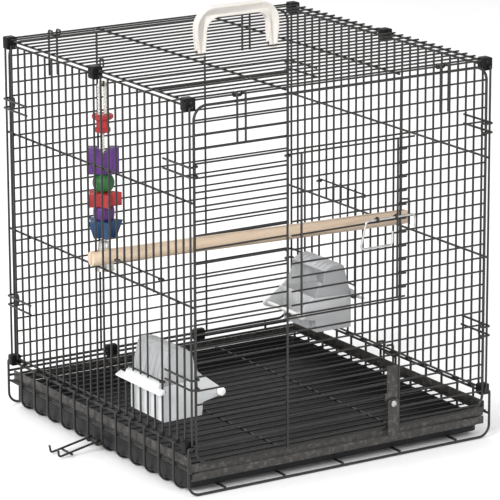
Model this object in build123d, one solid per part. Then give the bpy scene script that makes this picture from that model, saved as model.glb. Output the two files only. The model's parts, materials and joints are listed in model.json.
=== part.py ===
"""Bird travel carrier: a wire cage on a wire base basket, with a slide-out tray, a floor grille,
a latched front door, two feeder gates with hooded cups, a wooden perch, a hanging toy and a handle.

Millimetres. The origin is the middle of the base at floor level: X is right, Y is back, Z is up.
The front of the cage faces -Y.
"""
from build123d import *

import os
from math import cos, hypot, pi, radians, sin, sqrt

# ---- cage shell: planes of the five panels and the bar pitch ----
PITCH = 16.35            # spacing of the upright bars, the roof bars and the floor bars
SIDE_BARS = 12           # side-panel bars on each side of the middle one
SIDE_X = 203.0           # plane of the side panels' upright bars
FRONT_Y = 211.0          # plane of the front and back panels' bars
EDGE_BAR_Y = 211.0       # last upright of each side panel
SIDE_TOP_Z = 448.0       # top wire of the side panels
ROOF_Z = 455.0           # roof bars
ROOF_EDGE_Y = 207.0      # first and last roof bars
ROOF_EDGE_X = 200.0      # roof edge wires
STRUT_X = 76.7           # the two long struts of the front, back and roof panels
BACK_BOTTOM_Z = 48.5     # bottom wire of the back panel
FRONT_BOTTOM_Z = 37.3    # bottom wire of the front panel
FRAME_TOP_Z = 448.6      # top wire of the front and back frames
FRONT_BAR_TOP_Z = 432.8  # first cross bar below the frame top
FRONT_PITCH = 16.29      # spacing of the front and back cross bars
FRONT_BARS = 25
BACK_BARS = 24
FRAME_CORNER = 16.0      # corner radius of the front and back frames
CROSS_WIRES_Z = (340.5, 221.0)
END_STUB = 2.5           # how far wires run past the bar they are welded to

# ---- wire thicknesses (radii) and weld depth ----
BAR_R = 1.1
WIRE_R = 1.3
FRAME_R = 1.6
BASE_R = 1.5
WELD = 0.5               # how deep two crossing wires sink into each other
FIT = 0.35               # running clearance of an eye round its wire
GAP = 0.3                # clearance between pieces that only lie beside each other
REST = 0.05              # clearance under a piece that rests on another
FRAME_PLAY = 0.4         # clearance between the frames' legs and the side panels

# ---- front door ----
DOOR_FIRST_BAR = 4       # cross bars of the front panel that the doorway leaves out
DOOR_LAST_BAR = 14
DOOR_LEFT_X = -61.0
DOOR_RIGHT_X = 70.0
DOOR_TOP_Z = 380.3
DOOR_BOTTOM_Z = 193.0
DOOR_TOP_REACH = 94.0
DOOR_BAR_REACH = 82.0
DOOR_HINGE_END = 4.0     # distance from the hinge wire to the free ends of the door bars
DOGLEG = 2.0

# ---- door latch ----
LATCH_Z = 290.0
LATCH_BAR = (34.0, 92.0)
LATCH_TIP_Z = 275.0
LATCH_LOOP = (17.0, 61.0)
LATCH_LOOP_Z = 258.0
LATCH_LOOP_END = 16.0     # free end of the loop below the bolt
LATCH_LOOP_SLANT = 8.0
LATCH_WIRE_R = 1.2
LATCH_GUIDES = (40.0, 66.0)
LATCH_BEND = 4.0
CATCH_X = 86.0
CATCH_Z = (278.0, 308.0)

# ---- hairpin hooks that lock the panels together ----
HAIRPIN_REACH = 54.0     # length of the straight legs
HAIRPIN_LEGS = 11.0      # spacing of the two legs
HAIRPIN_BAR = (3, 18)    # a side hairpin sits in the space below these front bars
HAIRPIN_X = 137.0
HAIRPIN_BEND = 2.6
ROOF_HAIRPIN_BEND = 2.1
HAIRPIN_TIP = 1.0         # clearance of a side hairpin's tip from the first bar

# ---- feeder openings and their gates ----
FEED_NEAR = 9            # bars that bound the opening, counted from the middle of the side
FEED_FAR = 4
SILL_Z = 107.0
GATE_TOP_Z = 241.0
GATE_BOTTOM_Z = 121.0
GATE_FAR_GUIDE = 3       # bar that the far guide eye runs on

# ---- feeder cups: profile as (depth from the side plane, height) ----
CUP_WIDTH = 74.0
CUP_WALL = 1.8
CUP_BACK = (4.0, 69.0)
CUP_FLOOR = (54.5, 69.5)
CUP_RIM = (59.5, 114.0)
CUP_BACK_RIM_Z = 111.0
CUP_BEAD_Z = 117.0       # bead along the sill, between the bowl and its flange
CUP_BEAD = 1.5           # where the bead is highest, as depth from the side plane
CUP_FLANGE = 100.0       # width of the flange outside the panel, wider than the opening
FLANGE_TIP = (-8.5, 105.5)
CUP_RIBS = 5
CUP_RIB = 1.2
HOOD_MOUTH = ((50.5, 121.0), (44.5, 133.0), (42.0, 146.0))
HOOD_CROWN = ((32.0, 151.5), (20.0, 152.5), (15.0, 149.5))
ARM_FOOT = (57.0, 85.0)
ARM_TIP = (79.0, 94.5)
ARM_TIP_R = 5.0
CUP_PERCH_R = 2.5
KNOB_R = 5.0
KNOB_LENGTH = 5.0

# ---- base basket, floor grille and tray ----
BASE_X = 208.0
BASE_Y = 211.25
BASE_HOOPS = 14
BASE_TOP_Z = 57.3
BASE_BEND = 14.0
BASE_LIP_BEND = 3.0
BASE_RUNNERS = 5
RUNNER_SPAN = 320.0
LEDGE_Z = 30.0
BACK_RAILS_Z = (37.0, 43.0)
RAIL_STUB_X = 165.0
TRAY_Y = (-198.0, 205.0)
TRAY_SHEET = 1.2
TRAY_TOP_Z = 24.8
TRAY_CORNER = 8.0
TRAY_RAIL_Y = -209.4
TRAY_RAIL_BOTTOM_Z = 17.0
TRAY_RAIL_LIP = 4.0
RIM_SHEET = 1.0
RIM_SIDE_TOP_Z = 44.0
RIM_FRONT_Z = (27.0, 37.0)
RIM_Y = (-207.5, 206.5)
RIM_HALF_WIDTH = 203.2
GRILLE_Z = 34.5

# ---- tray lock on the front panel ----
LOCK_X = (60.0, 75.0)
BRACKET_Z = (60.0, 111.0)
LOCK_SHEET = 1.2
BUTTON_TIP_Z = 26.6
BUTTON_TOP_Z = 71.0
SCREW_Z = 65.7
SCREW_R = 1.6
SCREW_HEAD_R = 3.75
SCREW_HEAD = 2.4
LOCK_TAB = (3.0, 69.0, 78.0)

# ---- side clasps ----
CLASP_LEGS = 20.0
CLASP_PIVOT_ANGLE = 75.0   # place of the pivot wire round the hoops' bend, from straight down
CLASP_THUMB_Z = 48.0
CLASP_OPEN = 101.0

# ---- clips ----
CLIP_Y = 11.0
CLIP_X = 13.0
CLIP_COVER = 3.65        # plastic above and below the two wires that a top clip holds
CLIP_SEAT = 0.15
CLIP_ROUND = 2.0
BASE_CLIP_Y = 9.0
BASE_CLIP_Z = 13.0
BASE_CLIP_SHIFT = (2.5, -2.0)   # centre of a base clip from the panel's bottom wire, outwards and up
BACK_CLIP_Y = 10.0
BACK_CLIP_COVER = (4.0, 5.0)    # plastic below the base rail and above the panel wire

# ---- handle: half outline as (distance from the middle, height) ----
HANDLE_BAR = 1           # roof bar that the handle is clipped on
HANDLE_DEPTH = 11.0
HANDLE_FOOT = (45.5, 53.5)
HANDLE_FOOT_Z = 450.0
HANDLE_KNEE = (43.5, 56.5)
HANDLE_KNEE_Z = 472.0
HANDLE_SHOULDER = 57.5
HANDLE_TOP_Z = (494.0, 506.5)
HANDLE_CORNERS = (17.0, 25.0)
HANDLE_MOUTH = 1.9       # slot under each foot, narrower than the bar that snaps into it

# ---- perch ----
PERCH_R = 8.75
PERCH_OVERHANG = 7.0
PERCH_SLOT = 10.0
PERCH_LEFT_BAR = 0
PERCH_RIGHT_BAR = -2

# ---- hanging toy ----
TOY_X = -173.0
TOY_BAR = 2
TOY_TURN = -32.0         # how the flat toy pieces are turned about the cord
TOY_HOOK_R = 1.0
TOY_HOOK_BEND = 1.2
TOY_CORD_R = 2.2
LOOP_STRANDS = 7.8       # spacing of the loop's two strands
LOOP_R = 2.4
LOOP_TOP_Z = 432.0
SPOOL_Z = (371.0, 392.0)
SPOOL_RADII = (9.3, 7.2, 12.7)
BLOCK_Z = (321.8, 353.0)
BLOCK = (37.0, 15.0)
BEAD_Z = (299.7, 321.5)
BEAD_R = 13.0
STAR_Z = (283.2, 299.4)
STAR_RADII = (21.5, 21.5, 11.0)
BARREL_Z = (266.5, 283.0)
BARREL_R = 12.6
WINGS_Z = (245.0, 266.2)
WINGS_RADII = (15.0, 22.5, 11.0)
STAR_POINTS = 5
BELL_Z = (205.5, 240.0)
BELL_R = 12.0
BELL_WALL = 1.2
CLAPPER_R = 3.4

# ---- places that follow from the sizes above ----
SIDE_IN = SIDE_X - 2 * WIRE_R + WELD               # inner plane: the side panels' level wires
FRAME_X = SIDE_IN - WIRE_R - FRAME_R - FRAME_PLAY  # legs of the front and back frames
STRUT_Y = FRONT_Y + BAR_R + WIRE_R - WELD          # struts, outside the front and back bars
STRUT_FACE_Y = STRUT_Y + WIRE_R
ROOF_LOW_Z = ROOF_Z - BAR_R - WIRE_R + WELD        # roof struts and edge wires, under the bars
SIDE_BOTTOM_Z = BASE_TOP_Z + BASE_R + WIRE_R + REST
RAIL_X = BASE_X - 2 * BASE_R + WELD                # base wires that run along inside the hoops
RUNNER_Z = 3 * BASE_R - WELD
TOP_RAIL_X = BASE_X - BASE_LIP_BEND - BASE_R
TOP_RAIL_Z = BASE_TOP_Z - 2 * BASE_R + WELD
EYE_R = WIRE_R + FIT + BAR_R                       # centreline of an eye of thin wire
EYE_STEP = 2 * BAR_R - WELD                        # an eye lies beside the wire that it ends
DOOR_Y = -(STRUT_Y + EYE_R)
DOOR_STILE_Y = DOOR_Y - BAR_R - WIRE_R + WELD
LATCH_Y = DOOR_STILE_Y - WIRE_R - GAP - LATCH_WIRE_R
GATE_X = SIDE_X + EYE_R
FEED_MID = -(FEED_NEAR + FEED_FAR) / 2 * PITCH
TRAY_FLOOR_Z = RUNNER_Z + BASE_R + GAP
BEND_CENTER_X = BASE_X - BASE_BEND
BEND_CENTER_Z = BASE_R + BASE_BEND
TRAY_HALF_WIDTH = BEND_CENTER_X + sqrt((BASE_BEND - BASE_R - GAP) ** 2 - (BEND_CENTER_Z - TRAY_FLOOR_Z) ** 2)
PIVOT_OUT = BASE_BEND + 2 * BASE_R - WELD          # pivot wires, welded outside the hoops' bends
PIVOT_X = BEND_CENTER_X + PIVOT_OUT * sin(radians(CLASP_PIVOT_ANGLE))
PIVOT_Z = BEND_CENTER_Z - PIVOT_OUT * cos(radians(CLASP_PIVOT_ANGLE))
LEDGE_TOP_Z = LEDGE_Z + BASE_R + REST
BUTTON_Y = -STRUT_FACE_Y - GAP


def rod(start, end, radius):
    """Straight wire between two points."""
    axis = Vector(*end) - Vector(*start)
    return Solid.make_cylinder(radius, axis.length, Plane(origin=start, z_dir=axis))


def bent(points, radii, radius):
    """Wire along a path of straight runs joined by arcs."""
    path = FilletPolyline(*points, radius=radii)
    return sweep(Plane(origin=path @ 0, z_dir=path % 0) * Circle(radius), path=path)


def eye(center, axis, ring_radius, radius):
    """Closed ring of wire round an axis."""
    return Plane(origin=center, z_dir=axis) * Torus(ring_radius, radius)


def box(x, y, z):
    """Box between two limits on each axis."""
    low = (x[0], y[0], z[0])
    block = Solid.make_box(x[1] - x[0], y[1] - y[0], z[1] - z[0])
    return block.moved(Location(low))


def weld(pieces):
    """Join wires that sink into each other into one solid."""
    shapes = [solid for piece in pieces for solid in piece.solids()]
    return shapes[0].fuse(*shapes[1:])


def parted(shape, rooms):
    """The same shape as solids that meet face to face where one room ends and the next begins."""
    pieces = [solid for room in rooms for solid in (shape & box(*room)).solids()]
    return Compound(pieces)


def beside(shape, other):
    """Largest solid left of a shape that another meets face to face."""
    return max((shape - other).solids(), key=lambda solid: solid.volume)


def prism(points, y_from, y_to):
    """Solid of an X-Z outline between two places on Y."""
    outline = Plane.XZ * make_face(Polyline(*points, close=True))
    return extrude(outline, amount=y_to - y_from, dir=(0, 1, 0)).moved(Location((0, y_from, 0)))


def turned(shape):
    """The same piece on the opposite side of the cage."""
    return shape.rotate(Axis.Z, 180)


def front_bar_z(number):
    return FRONT_BAR_TOP_Z - number * FRONT_PITCH


def frame_half(z, bottom_z):
    """Half width of the rounded front or back frame at one height."""
    past = max(bottom_z + FRAME_CORNER - z, z - (FRAME_TOP_Z - FRAME_CORNER), 0)
    return FRAME_X - FRAME_CORNER + sqrt(FRAME_CORNER ** 2 - past ** 2)


# ---- panels ----
def frame_panel(bottom_z, bars, doorway):
    """Front or back panel at -Y: rounded frame, cross bars, two struts and two roof hairpins."""
    corners = [(0, FRAME_TOP_Z), (FRAME_X, FRAME_TOP_Z), (FRAME_X, bottom_z), (-FRAME_X, bottom_z),
               (-FRAME_X, FRAME_TOP_Z), (0, FRAME_TOP_Z)]
    path = [(x, -FRONT_Y, z) for x, z in corners]
    pieces = [bent(path[:3] + [(0, -FRONT_Y, bottom_z)], FRAME_CORNER, FRAME_R),
              bent([(0, -FRONT_Y, bottom_z)] + path[3:], FRAME_CORNER, FRAME_R)]
    for number in range(bars):
        z = front_bar_z(number)
        half = frame_half(z, bottom_z)
        if doorway and DOOR_FIRST_BAR <= number <= DOOR_LAST_BAR:
            for side in (-1, 1):
                pieces.append(rod((side * half, -FRONT_Y, z), (side * STRUT_X, -FRONT_Y, z), BAR_R))
        else:
            pieces.append(rod((-half, -FRONT_Y, z), (half, -FRONT_Y, z), BAR_R))
    for side in (-1, 1):
        x = side * STRUT_X
        pieces.append(rod((x, -STRUT_Y, bottom_z - WELD), (x, -STRUT_Y, FRAME_TOP_Z + WELD), WIRE_R))
        pieces.append(roof_hairpin(side * HAIRPIN_X))
    return weld(pieces)


def front_panel():
    """Front panel in four parts round its doorway, and the catch of the latch on its right strut."""
    panel = frame_panel(FRONT_BOTTOM_Z, FRONT_BARS, doorway=True)
    over = front_bar_z(DOOR_FIRST_BAR - 1) - BAR_R - REST
    under = front_bar_z(DOOR_LAST_BAR + 1) + BAR_R + REST
    deep = (-2 * FRONT_Y, 0)
    wide = 2 * FRAME_X
    rooms = [((-wide, wide), deep, (over, 2 * FRAME_TOP_Z)), ((-wide, wide), deep, (-FRAME_TOP_Z, under)),
             ((-wide, 0), deep, (under, over)), ((0, wide), deep, (under, over))]
    return Compound([*parted(panel, rooms).solids(), beside(latch_catch(), panel)])


def roof_hairpin(x):
    """Hairpin on the front panel that hooks over the first roof bar."""
    top = ROOF_Z + BAR_R + GAP + WIRE_R
    back = -ROOF_EDGE_Y + BAR_R + GAP + WIRE_R
    low = ROOF_Z - BAR_R - WIRE_R
    legs = (x - HAIRPIN_LEGS / 2, x + HAIRPIN_LEGS / 2)
    side = [(-STRUT_Y, top - HAIRPIN_REACH - WIRE_R), (-STRUT_Y, top), (back, top), (back, low)]
    path = [(legs[0], y, z) for y, z in side] + [(legs[1], y, z) for y, z in reversed(side)]
    return bent(path, ROOF_HAIRPIN_BEND, WIRE_R)


def side_hairpin(bar, end):
    """Hairpin on the left panel that hooks round the leg of the front (-1) or back (1) frame."""
    z = front_bar_z(bar) - FRONT_PITCH / 2
    outside = -SIDE_X - 2 * WIRE_R + WELD
    inside = -FRAME_X + FRAME_R + GAP + WIRE_R
    front = end * (FRONT_Y + FRAME_R + GAP + WIRE_R)
    start = end * (FRONT_Y - HAIRPIN_REACH)
    tip = end * (FRONT_Y - BAR_R - GAP - WIRE_R - HAIRPIN_TIP)
    legs = (z - HAIRPIN_LEGS / 2, z + HAIRPIN_LEGS / 2)
    side = [(outside, start), (outside, front), (inside, front), (inside, tip)]
    path = [(x, y, legs[0]) for x, y in side] + [(x, y, legs[1]) for x, y in reversed(side)]
    return bent(path, HAIRPIN_BEND, WIRE_R)


def side_panel():
    """Left side panel in four parts round its feeder opening; the right one is the same, turned round."""
    pieces = []
    low = SIDE_BOTTOM_Z - WELD
    high = SIDE_TOP_Z + WELD
    cut_top = CROSS_WIRES_Z[1] - WELD
    cut_low = SILL_Z + WELD
    for number in range(-SIDE_BARS, SIDE_BARS + 1):
        y = number * PITCH
        if -FEED_NEAR < number < -FEED_FAR:
            pieces.append(rod((-SIDE_X, y, low), (-SIDE_X, y, cut_low), WIRE_R))
            pieces.append(rod((-SIDE_X, y, cut_top), (-SIDE_X, y, high), WIRE_R))
        else:
            pieces.append(rod((-SIDE_X, y, low), (-SIDE_X, y, high), WIRE_R))
    for side in (-1, 1):
        y = side * EDGE_BAR_Y
        pieces.append(rod((-SIDE_X, y, low), (-SIDE_X, y, high), WIRE_R))
    reach = EDGE_BAR_Y + END_STUB
    for z in (SIDE_BOTTOM_Z, SIDE_TOP_Z, *CROSS_WIRES_Z):
        pieces.append(rod((-SIDE_IN, -reach, z), (-SIDE_IN, reach, z), WIRE_R))
    sill = (-FEED_NEAR * PITCH - END_STUB, -FEED_FAR * PITCH + END_STUB)
    pieces.append(rod((-SIDE_IN, sill[0], SILL_Z), (-SIDE_IN, sill[1], SILL_Z), WIRE_R))
    pieces += [side_hairpin(bar, end) for bar in HAIRPIN_BAR for end in (-1, 1)]
    deep = (-2 * SIDE_X, 0)
    tall = (0, 2 * SIDE_TOP_Z)
    end = 2 * EDGE_BAR_Y
    near = -FEED_NEAR * PITCH + WIRE_R + REST
    far = -FEED_FAR * PITCH - WIRE_R - REST
    rooms = [(deep, (-end, near), tall), (deep, (far, end), tall),
             (deep, (near, far), (CROSS_WIRES_Z[1] - WIRE_R - REST, tall[1])),
             (deep, (near, far), (tall[0], SILL_Z + WIRE_R + REST))]
    return parted(weld(pieces), rooms)


def roof_panel():
    """Roof bars on two struts and two edge wires."""
    pieces = []
    half = ROOF_EDGE_X + END_STUB + WIRE_R
    rows = [number * PITCH for number in range(-SIDE_BARS, SIDE_BARS + 1)]
    for y in rows + [-ROOF_EDGE_Y, ROOF_EDGE_Y]:
        pieces.append(rod((-half, y, ROOF_Z), (half, y, ROOF_Z), BAR_R))
    reach = ROOF_EDGE_Y + END_STUB
    for x in (-ROOF_EDGE_X, -STRUT_X, STRUT_X, ROOF_EDGE_X):
        pieces.append(rod((x, -reach, ROOF_LOW_Z), (x, reach, ROOF_LOW_Z), WIRE_R))
    return weld(pieces)


# ---- base, floor grille and tray ----
HOOP_STEP = 2 * BASE_Y / (BASE_HOOPS - 1)
HOOP_SPLIT_X = BEND_CENTER_X - 4                   # where the floor of each hoop meets its sides
HOOPS_Y = [-BASE_Y + number * HOOP_STEP for number in range(BASE_HOOPS)]


def base_floor_wires():
    """Floor runs of the base hoops, with the runners that the tray slides on."""
    pieces = [rod((-HOOP_SPLIT_X, y, BASE_R), (HOOP_SPLIT_X, y, BASE_R), BASE_R) for y in HOOPS_Y]
    for number in range(BASE_RUNNERS):
        x = (number / (BASE_RUNNERS - 1) - 0.5) * RUNNER_SPAN
        pieces.append(rod((x, -BASE_Y, RUNNER_Z), (x, BASE_Y, RUNNER_Z), BASE_R))
    return weld(pieces)


def base_side(side):
    """Sides of the base hoops, bent in at the top, with the ledge, top rail and clasp pivot."""
    tip = SIDE_IN - WIRE_R
    profile = [(HOOP_SPLIT_X, BASE_R), (BASE_X, BASE_R), (BASE_X, BASE_TOP_Z), (tip, BASE_TOP_Z)]
    pieces = []
    for y in HOOPS_Y:
        pieces.append(bent([(side * x, y, z) for x, z in profile], [BASE_BEND, BASE_LIP_BEND], BASE_R))
    for x, z in ((RAIL_X, LEDGE_Z), (TOP_RAIL_X, TOP_RAIL_Z)):
        pieces.append(rod((side * x, -BASE_Y, z), (side * x, BASE_Y, z), BASE_R))
    pivot = HOOP_STEP / 2 + BASE_R
    pieces.append(rod((side * PIVOT_X, -pivot, PIVOT_Z), (side * PIVOT_X, pivot, PIVOT_Z), BASE_R))
    return weld(pieces)


def base_back_rails():
    """Two level wires across the back of the base, with a short upright stub."""
    half = BASE_X - BASE_R
    pieces = [rod((-half, BASE_Y, z), (half, BASE_Y, z), BASE_R) for z in BACK_RAILS_Z]
    stub_y = BASE_Y + 2 * BASE_R - WELD
    stub_z = (BACK_RAILS_Z[0] - BASE_R, BACK_RAILS_Z[1] + END_STUB)
    pieces.append(rod((RAIL_STUB_X, stub_y, stub_z[0]), (RAIL_STUB_X, stub_y, stub_z[1]), BASE_R))
    return weld(pieces)


def floor_grille_wires():
    """Level floor bars on two cross wires, between the rim strips."""
    half = RIM_HALF_WIDTH - RIM_SHEET
    pieces = []
    for number in range(-SIDE_BARS, SIDE_BARS + 1):
        y = number * PITCH
        pieces.append(rod((-half, y, GRILLE_Z), (half, y, GRILLE_Z), BAR_R))
    low = GRILLE_Z - BAR_R - WIRE_R + WELD
    for x in (-STRUT_X, STRUT_X):
        pieces.append(rod((x, RIM_Y[0] + RIM_SHEET, low), (x, RIM_Y[1] - RIM_SHEET, low), WIRE_R))
    return weld(pieces)


def floor_grille_rim():
    """Folded sheet rim of the floor grille; its side flanges lie on the base ledges."""
    outer = RIM_HALF_WIDTH
    flange = BASE_X - BASE_R - GAP
    pieces = []
    for side in (-1, 1):
        wall = sorted((side * outer, side * (outer - RIM_SHEET)))
        foot = sorted((side * flange, side * (outer - RIM_SHEET)))
        pieces.append(box(wall, RIM_Y, (LEDGE_TOP_Z, RIM_SIDE_TOP_Z)))
        pieces.append(box(foot, RIM_Y, (LEDGE_TOP_Z, LEDGE_TOP_Z + RIM_SHEET)))
    front = (RIM_Y[0], RIM_Y[0] + RIM_SHEET)
    back = (RIM_Y[1] - RIM_SHEET, RIM_Y[1])
    for wall in (front, back):
        pieces.append(box((-outer, outer), wall, (LEDGE_TOP_Z, RIM_FRONT_Z[1])))
        inner = outer - RIM_SHEET
        pieces.append(box((-inner, inner), wall, (RIM_FRONT_Z[0], LEDGE_TOP_Z)))
    return weld(pieces)


def tray_pan():
    """Sheet pan that catches droppings."""
    depth = TRAY_Y[1] - TRAY_Y[0]
    middle = (TRAY_Y[0] + TRAY_Y[1]) / 2
    outline = RectangleRounded(2 * TRAY_HALF_WIDTH, depth, TRAY_CORNER)
    hollow = RectangleRounded(2 * (TRAY_HALF_WIDTH - TRAY_SHEET), depth - 2 * TRAY_SHEET,
                              TRAY_CORNER - TRAY_SHEET)
    pan = extrude(Location((0, middle, TRAY_FLOOR_Z)) * outline, TRAY_TOP_Z - TRAY_FLOOR_Z)
    floor = TRAY_FLOOR_Z + TRAY_SHEET
    return pan - extrude(Location((0, middle, floor)) * hollow, TRAY_TOP_Z)


def tray_front_rail():
    """Folded front lip of the tray, hooked over the pan's front wall."""
    front = TRAY_RAIL_Y
    wall = TRAY_Y[0]
    top = TRAY_TOP_Z + REST
    reach = wall + TRAY_SHEET + GAP + TRAY_SHEET
    half = TRAY_HALF_WIDTH - TRAY_CORNER
    pieces = [box((-TRAY_HALF_WIDTH, TRAY_HALF_WIDTH), (front, front + TRAY_SHEET),
                  (TRAY_RAIL_BOTTOM_Z, top + TRAY_SHEET)),
              box((-TRAY_HALF_WIDTH, TRAY_HALF_WIDTH), (front, wall), (top, top + TRAY_SHEET)),
              box((-half, half), (wall, reach), (top, top + TRAY_SHEET)),
              box((-half, half), (reach - TRAY_SHEET, reach), (top - TRAY_RAIL_LIP, top)),
              box((-TRAY_HALF_WIDTH, TRAY_HALF_WIDTH), (front, front + 3 * TRAY_SHEET),
                  (TRAY_RAIL_BOTTOM_Z, TRAY_RAIL_BOTTOM_Z + TRAY_SHEET))]
    return weld(pieces)


# ---- tray lock ----
LOCK_MID = (LOCK_X[0] + LOCK_X[1]) / 2
BRACKET_Y = (-FRONT_Y - BAR_R - GAP - LOCK_SHEET, -FRONT_Y - BAR_R - GAP)


def lock_bracket():
    """Fixed plate of the tray lock, in front of the front bars, with a stop tab."""
    plate = box(LOCK_X, BRACKET_Y, BRACKET_Z)
    tab = box((LOCK_X[0] - LOCK_TAB[0], LOCK_X[0]), BRACKET_Y, LOCK_TAB[1:])
    hole = rod((LOCK_MID, BRACKET_Y[0] - 1, SCREW_Z), (LOCK_MID, BRACKET_Y[1] + 1, SCREW_Z),
               SCREW_R + REST)
    return weld([plate, tab]) - hole


def lock_button():
    """Turn button that hangs from the screw in front of the tray."""
    half = (LOCK_X[1] - LOCK_X[0]) / 2
    y = (BUTTON_Y - LOCK_SHEET, BUTTON_Y)
    plate = box((LOCK_MID - half, LOCK_MID + half), y, (BUTTON_TIP_Z, BUTTON_TOP_Z))
    plate = fillet(plate.edges().filter_by(Axis.Y), half * 0.4)
    hole = rod((LOCK_MID, y[0] - 1, SCREW_Z), (LOCK_MID, y[1] + 1, SCREW_Z), SCREW_R + GAP)
    return plate - hole


def lock_screw():
    """Domed screw through the button and the bracket, with its nut behind the bracket."""
    head_y = BUTTON_Y - LOCK_SHEET - GAP
    nut_y = BRACKET_Y[1]
    shank = rod((LOCK_MID, head_y, SCREW_Z), (LOCK_MID, nut_y, SCREW_Z), SCREW_R)
    rim = rod((LOCK_MID, head_y, SCREW_Z), (LOCK_MID, head_y - SCREW_HEAD / 2, SCREW_Z), SCREW_HEAD_R)
    dome = Plane(origin=(LOCK_MID, head_y - SCREW_HEAD / 2, SCREW_Z), z_dir=(0, -1, 0))
    cap = dome * Cone(SCREW_HEAD_R, SCREW_HEAD_R * 0.55, SCREW_HEAD / 2,
                      align=(Align.CENTER, Align.CENTER, Align.MIN))
    nut = rod((LOCK_MID, nut_y, SCREW_Z), (LOCK_MID, nut_y + SCREW_HEAD, SCREW_Z), SCREW_HEAD_R)
    return weld([shank, rim, cap, nut])


# ---- front door and its latch ----
def front_door():
    """Door of level bars on two stiles, parted from what stands out behind its bars and before its stiles."""
    hinge = (-STRUT_X, -STRUT_Y)
    pieces = []
    ends = ((DOOR_TOP_Z, DOOR_TOP_REACH, -EYE_STEP), (DOOR_BOTTOM_Z, DOOR_BAR_REACH, EYE_STEP))
    for z, reach, step in ends:
        pieces.append(rod((hinge[0], DOOR_Y, z), (reach, DOOR_Y, z), BAR_R))
        pieces.append(eye((*hinge, z + step), (0, 0, 1), EYE_R, BAR_R))
    left = -STRUT_X + DOOR_HINGE_END
    for number in range(DOOR_FIRST_BAR, DOOR_LAST_BAR + 1):
        z = front_bar_z(number)
        right = DOOR_BAR_REACH
        points = [(left, DOOR_Y, z), (DOOR_RIGHT_X + WIRE_R, DOOR_Y, z),
                  (DOOR_RIGHT_X + WIRE_R + DOGLEG, DOOR_Y - DOGLEG, z), (right, DOOR_Y - DOGLEG, z)]
        pieces.append(bent(points, BAR_R + GAP, BAR_R))
    for x in (DOOR_LEFT_X, DOOR_RIGHT_X):
        pieces.append(rod((x, DOOR_STILE_Y, DOOR_BOTTOM_Z - WELD), (x, DOOR_STILE_Y, DOOR_TOP_Z + WELD),
                          WIRE_R))
    pieces += [latch_guide(x) for x in LATCH_GUIDES]
    wide = (-2 * DOOR_TOP_REACH, 2 * DOOR_TOP_REACH)
    tall = (0, FRAME_TOP_Z)
    back = DOOR_Y + BAR_R + GAP
    front = DOOR_STILE_Y - WIRE_R - REST
    return parted(weld(pieces), [(wide, (front, back), tall), (wide, (back, 0), tall),
                                 (wide, (-2 * FRONT_Y, front), tall)])


def latch_guide(x):
    """Eye on the door that the latch wire runs through, on a stem from the bar below it."""
    ring = LATCH_WIRE_R + FIT + BAR_R
    bar_z = min((front_bar_z(n) for n in range(FRONT_BARS)), key=lambda z: abs(z - LATCH_Z))
    stem_y = LATCH_Y + ring
    stem_x = x - EYE_STEP
    stem = [(stem_x, stem_y, LATCH_Z + BAR_R), (stem_x, stem_y, bar_z), (stem_x, DOOR_Y + WELD, bar_z)]
    return weld([eye((x, LATCH_Y, LATCH_Z), (-1, 0, 0), ring, BAR_R),
                 bent(stem, BAR_R + REST, BAR_R)])


def door_latch():
    """Sliding wire bolt with a finger loop."""
    tip = LATCH_BAR[1]
    points = [(LATCH_LOOP[1], LATCH_Z - LATCH_LOOP_END), (LATCH_LOOP[1], LATCH_LOOP_Z),
              (LATCH_LOOP[0], LATCH_LOOP_Z), (LATCH_LOOP[0] + LATCH_LOOP_SLANT, LATCH_Z), (tip, LATCH_Z),
              (tip, LATCH_TIP_Z)]
    path = [(x, LATCH_Y, z) for x, z in points]
    return bent(path, LATCH_BEND, LATCH_WIRE_R)


def latch_catch():
    """Bent wire on the right strut whose leg stands behind the end of the bolt."""
    leg_y = LATCH_Y + LATCH_WIRE_R + GAP + LATCH_WIRE_R
    points = [(STRUT_X, -STRUT_Y, CATCH_Z[1]), (CATCH_X, leg_y, CATCH_Z[1]), (CATCH_X, leg_y, CATCH_Z[0])]
    return bent(points, 2 * LATCH_WIRE_R, LATCH_WIRE_R)


# ---- feeder gate and cup on the left side ----
def feeder_gate():
    """Sliding gate: four bars on two level wires, with eyes round the panel bars as guides."""
    near = -FEED_NEAR * PITCH
    far = -GATE_FAR_GUIDE * PITCH
    bars = [-(number + 0.5) * PITCH for number in range(FEED_FAR, FEED_NEAR) if number != FEED_NEAR - 1]
    bar_x = -GATE_X - EYE_STEP
    pieces = [rod((-GATE_X, near, GATE_TOP_Z), (-GATE_X, far, GATE_TOP_Z), BAR_R),
              rod((-GATE_X, near, GATE_BOTTOM_Z), (-GATE_X, bars[0] + END_STUB, GATE_BOTTOM_Z), BAR_R)]
    for y, z in ((near, GATE_TOP_Z), (far, GATE_TOP_Z), (near, GATE_BOTTOM_Z)):
        pieces.append(eye((-SIDE_X, y, z - EYE_STEP), (0, 0, 1), EYE_R, BAR_R))
    for y in bars:
        pieces.append(rod((bar_x, y, GATE_BOTTOM_Z - END_STUB), (bar_x, y, GATE_TOP_Z + END_STUB), BAR_R))
    return weld(pieces)


def at_depth(points):
    """Profile points given as depth from the side plane, moved to the left side."""
    return [(depth - SIDE_X, z) for depth, z in points]


CUP_Y = (FEED_MID - CUP_WIDTH / 2, FEED_MID + CUP_WIDTH / 2)
CUP_SEAT_Z = SILL_Z + WIRE_R + REST


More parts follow.
